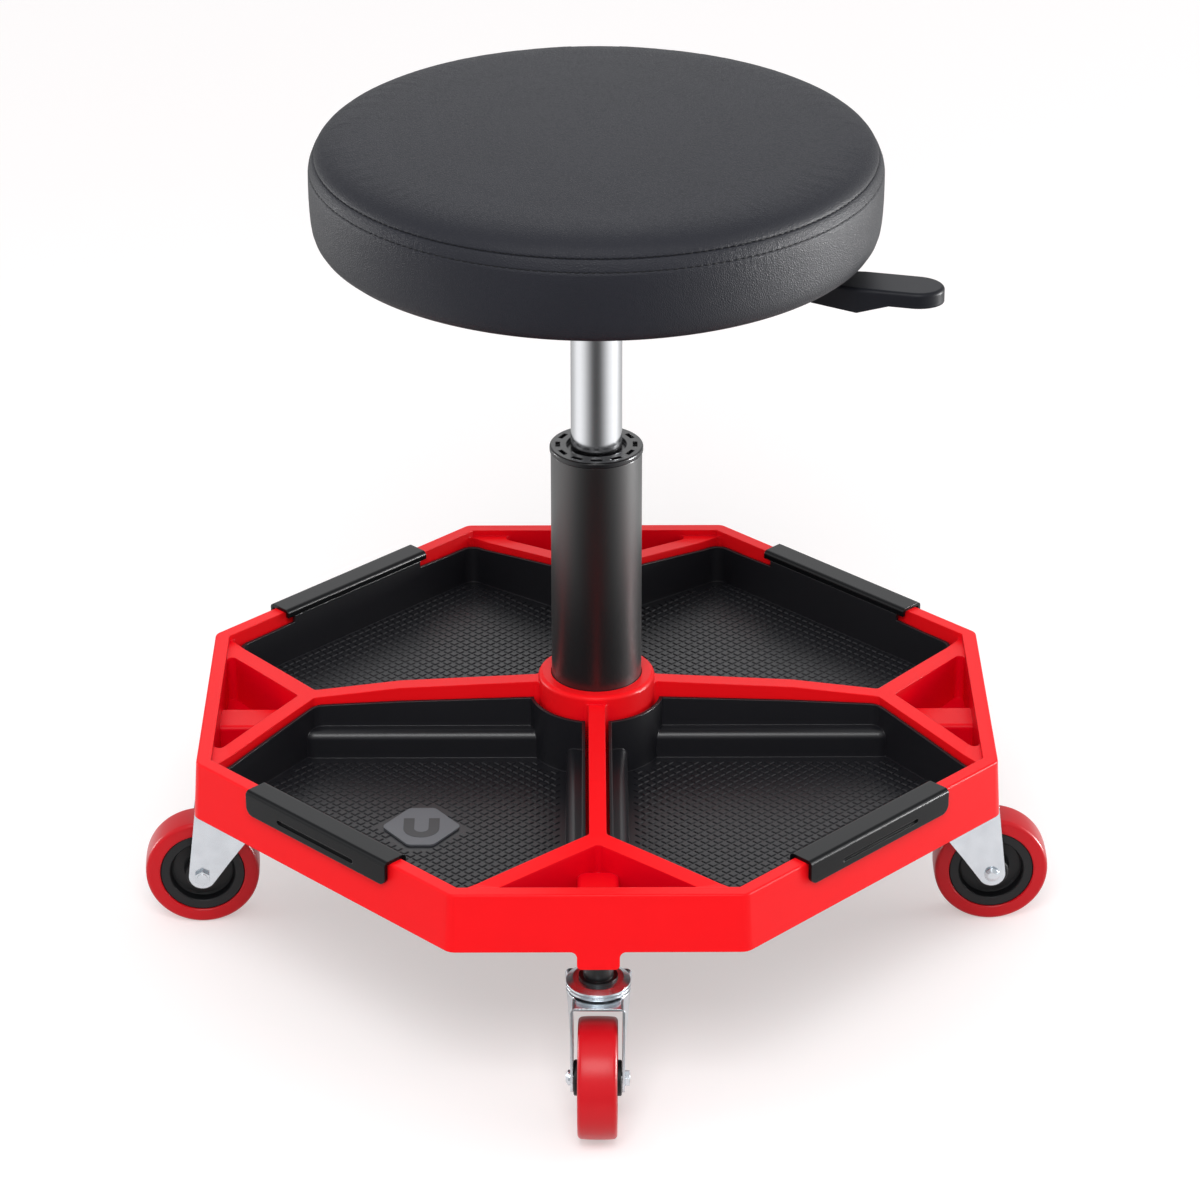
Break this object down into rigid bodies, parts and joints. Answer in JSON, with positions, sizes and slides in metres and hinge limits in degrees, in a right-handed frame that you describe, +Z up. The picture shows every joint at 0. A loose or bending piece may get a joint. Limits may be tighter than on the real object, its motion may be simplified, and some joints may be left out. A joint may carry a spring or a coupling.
{
  "type": "rolling mechanic stool",
  "caption": "Rolling round-seat mechanic stool on a gas lift, over an eight-sided base with lift-out tool trays and swivel casters.",
  "frame": {"origin": "on the floor under the centre of the column", "axes": "+Z up along the column, +X towards the lever's side, -Y towards the front, where the tray with the magnet plate is on the left"},
  "size_m": [0.5154, 0.5151, 0.479],
  "materials": {
    "red_plastic": "satin moulded polypropylene",
    "tray_plastic": "moulded polypropylene with a textured floor",
    "clip_steel": "satin powder coat",
    "magnet_grey": "printed film over a flat magnet",
    "tube_paint": "black satin powder coat",
    "bush_plastic": "moulded acetal",
    "chrome": "satin chrome",
    "rod_steel": "ground and hard chromed",
    "bearing_steel": "ground",
    "bump_rubber": "moulded",
    "plate_paint": "black powder coat",
    "plywood": "sanded birch plywood",
    "seat_vinyl": "grained vinyl over foam",
    "screw_zinc": "zinc plated",
    "lever_steel": "black painted rod",
    "handle_plastic": "moulded polypropylene",
    "fork_zinc": "bright zinc plated pressing",
    "collar_plastic": "moulded nylon",
    "wheel_core": "moulded nylon",
    "tyre_red": "polyurethane"
  },
  "bodies": {
    "base": {"base_frame": "red_plastic", "column_tube": "tube_paint", "guide_bush": "bush_plastic", "lower_race": "bearing_steel", "thrust_balls": "bearing_steel", "caster_balls": "bearing_steel", "caster_stem_right": "fork_zinc", "caster_collar_right": "collar_plastic", "caster_cup_right": "fork_zinc", "caster_stem_back": "fork_zinc", "caster_collar_back": "collar_plastic", "caster_cup_back": "fork_zinc", "caster_stem_left": "fork_zinc", "caster_collar_left": "collar_plastic", "caster_cup_left": "fork_zinc", "caster_stem_front": "fork_zinc", "caster_collar_front": "collar_plastic", "caster_cup_front": "fork_zinc"},
    "swivel_post": {"piston_rod": "rod_steel", "upper_race": "bearing_steel", "bump_stop": "bump_rubber", "snap_ring": "bearing_steel", "gas_piston": "bush_plastic"},
    "seat": {"gas_cylinder": "chrome", "rod_gland": "bush_plastic", "seat_plate": "plate_paint", "seat_board": "plywood", "seat_cushion": "seat_vinyl", "plate_screws": "screw_zinc", "lever_pin": "screw_zinc"},
    "lever": {"lift_lever": "lever_steel", "lever_handle": "handle_plastic"},
    "button": {"release_button": "rod_steel"},
    "tray_back_right": {"tray_back_right": "tray_plastic", "tray_clip_back_right": "clip_steel"},
    "tray_back_left": {"tray_back_left": "tray_plastic", "tray_clip_back_left": "clip_steel"},
    "tray_front_left": {"tray_front_left": "tray_plastic", "tray_clip_front_left": "clip_steel", "tray_magnet": "magnet_grey"},
    "tray_front_right": {"tray_front_right": "tray_plastic", "tray_clip_front_right": "clip_steel"},
    "caster_right": {"caster_fork_right": "fork_zinc", "caster_axle_right": "fork_zinc"},
    "wheel_right": {"caster_hub_right": "wheel_core", "caster_tyre_right": "tyre_red"},
    "caster_back": {"caster_fork_back": "fork_zinc", "caster_axle_back": "fork_zinc"},
    "wheel_back": {"caster_hub_back": "wheel_core", "caster_tyre_back": "tyre_red"},
    "caster_left": {"caster_fork_left": "fork_zinc", "caster_axle_left": "fork_zinc"},
    "wheel_left": {"caster_hub_left": "wheel_core", "caster_tyre_left": "tyre_red"},
    "caster_front": {"caster_fork_front": "fork_zinc", "caster_axle_front": "fork_zinc"},
    "wheel_front": {"caster_hub_front": "wheel_core", "caster_tyre_front": "tyre_red"}
  },
  "joints": [
    {"name": "seat_swivel", "type": "hinge", "parent": "base", "child": "swivel_post", "pos_m": [0, 0, 0.1158], "axis": [0, 0, 1], "continuous": true},
    {"name": "seat_height", "type": "slide", "parent": "swivel_post", "child": "seat", "axis": [0, 0, 1], "range_m": [-0.078, 0]},
    {"name": "lever_lift", "type": "hinge", "parent": "seat", "child": "lever", "pos_m": [0.02523, -0.00629, 0.414], "axis": [-0.2419, -0.9703, 0], "range_deg": [0, 6], "stiffness_Nm_per_rad": 0.6, "springref_deg": -11.46},
    {"name": "button_press", "type": "slide", "parent": "seat", "child": "button", "axis": [0, 0, -1], "range_m": [0, 0.003]},
    {"name": "tray_lift_back_right", "type": "slide", "parent": "base", "child": "tray_back_right", "axis": [0, 0, 1], "range_m": [0, 0.07]},
    {"name": "tray_lift_back_left", "type": "slide", "parent": "base", "child": "tray_back_left", "axis": [0, 0, 1], "range_m": [0, 0.07]},
    {"name": "tray_lift_front_left", "type": "slide", "parent": "base", "child": "tray_front_left", "axis": [0, 0, 1], "range_m": [0, 0.07]},
    {"name": "tray_lift_front_right", "type": "slide", "parent": "base", "child": "tray_front_right", "axis": [0, 0, 1], "range_m": [0, 0.07]},
    {"name": "caster_swivel_right", "type": "hinge", "parent": "base", "child": "caster_right", "pos_m": [0.205, 0, 0.0751], "axis": [0, 0, 1], "continuous": true},
    {"name": "wheel_spin_right", "type": "hinge", "parent": "caster_right", "child": "wheel_right", "pos_m": [0.225, 0, 0.0325], "axis": [0, 1, 0], "continuous": true},
    {"name": "caster_swivel_back", "type": "hinge", "parent": "base", "child": "caster_back", "pos_m": [0, 0.205, 0.0751], "axis": [0, 0, 1], "continuous": true},
    {"name": "wheel_spin_back", "type": "hinge", "parent": "caster_back", "child": "wheel_back", "pos_m": [0, 0.225, 0.0325], "axis": [-1, 0, 0], "continuous": true},
    {"name": "caster_swivel_left", "type": "hinge", "parent": "base", "child": "caster_left", "pos_m": [-0.205, 0, 0.0751], "axis": [0, 0, 1], "continuous": true},
    {"name": "wheel_spin_left", "type": "hinge", "parent": "caster_left", "child": "wheel_left", "pos_m": [-0.22497, -0.00105, 0.0325], "axis": [0.0523, -0.9986, 0], "continuous": true},
    {"name": "caster_swivel_front", "type": "hinge", "parent": "base", "child": "caster_front", "pos_m": [0, -0.205, 0.0751], "axis": [0, 0, 1], "continuous": true},
    {"name": "wheel_spin_front", "type": "hinge", "parent": "caster_front", "child": "wheel_front", "pos_m": [-0.00035, -0.225, 0.0325], "axis": [0.9998, -0.0175, 0], "continuous": true}
  ],
  "couplings": [
    {"joint": "button_press", "follows": "lever_lift", "m_per_rad": 0.0285}
  ]
}
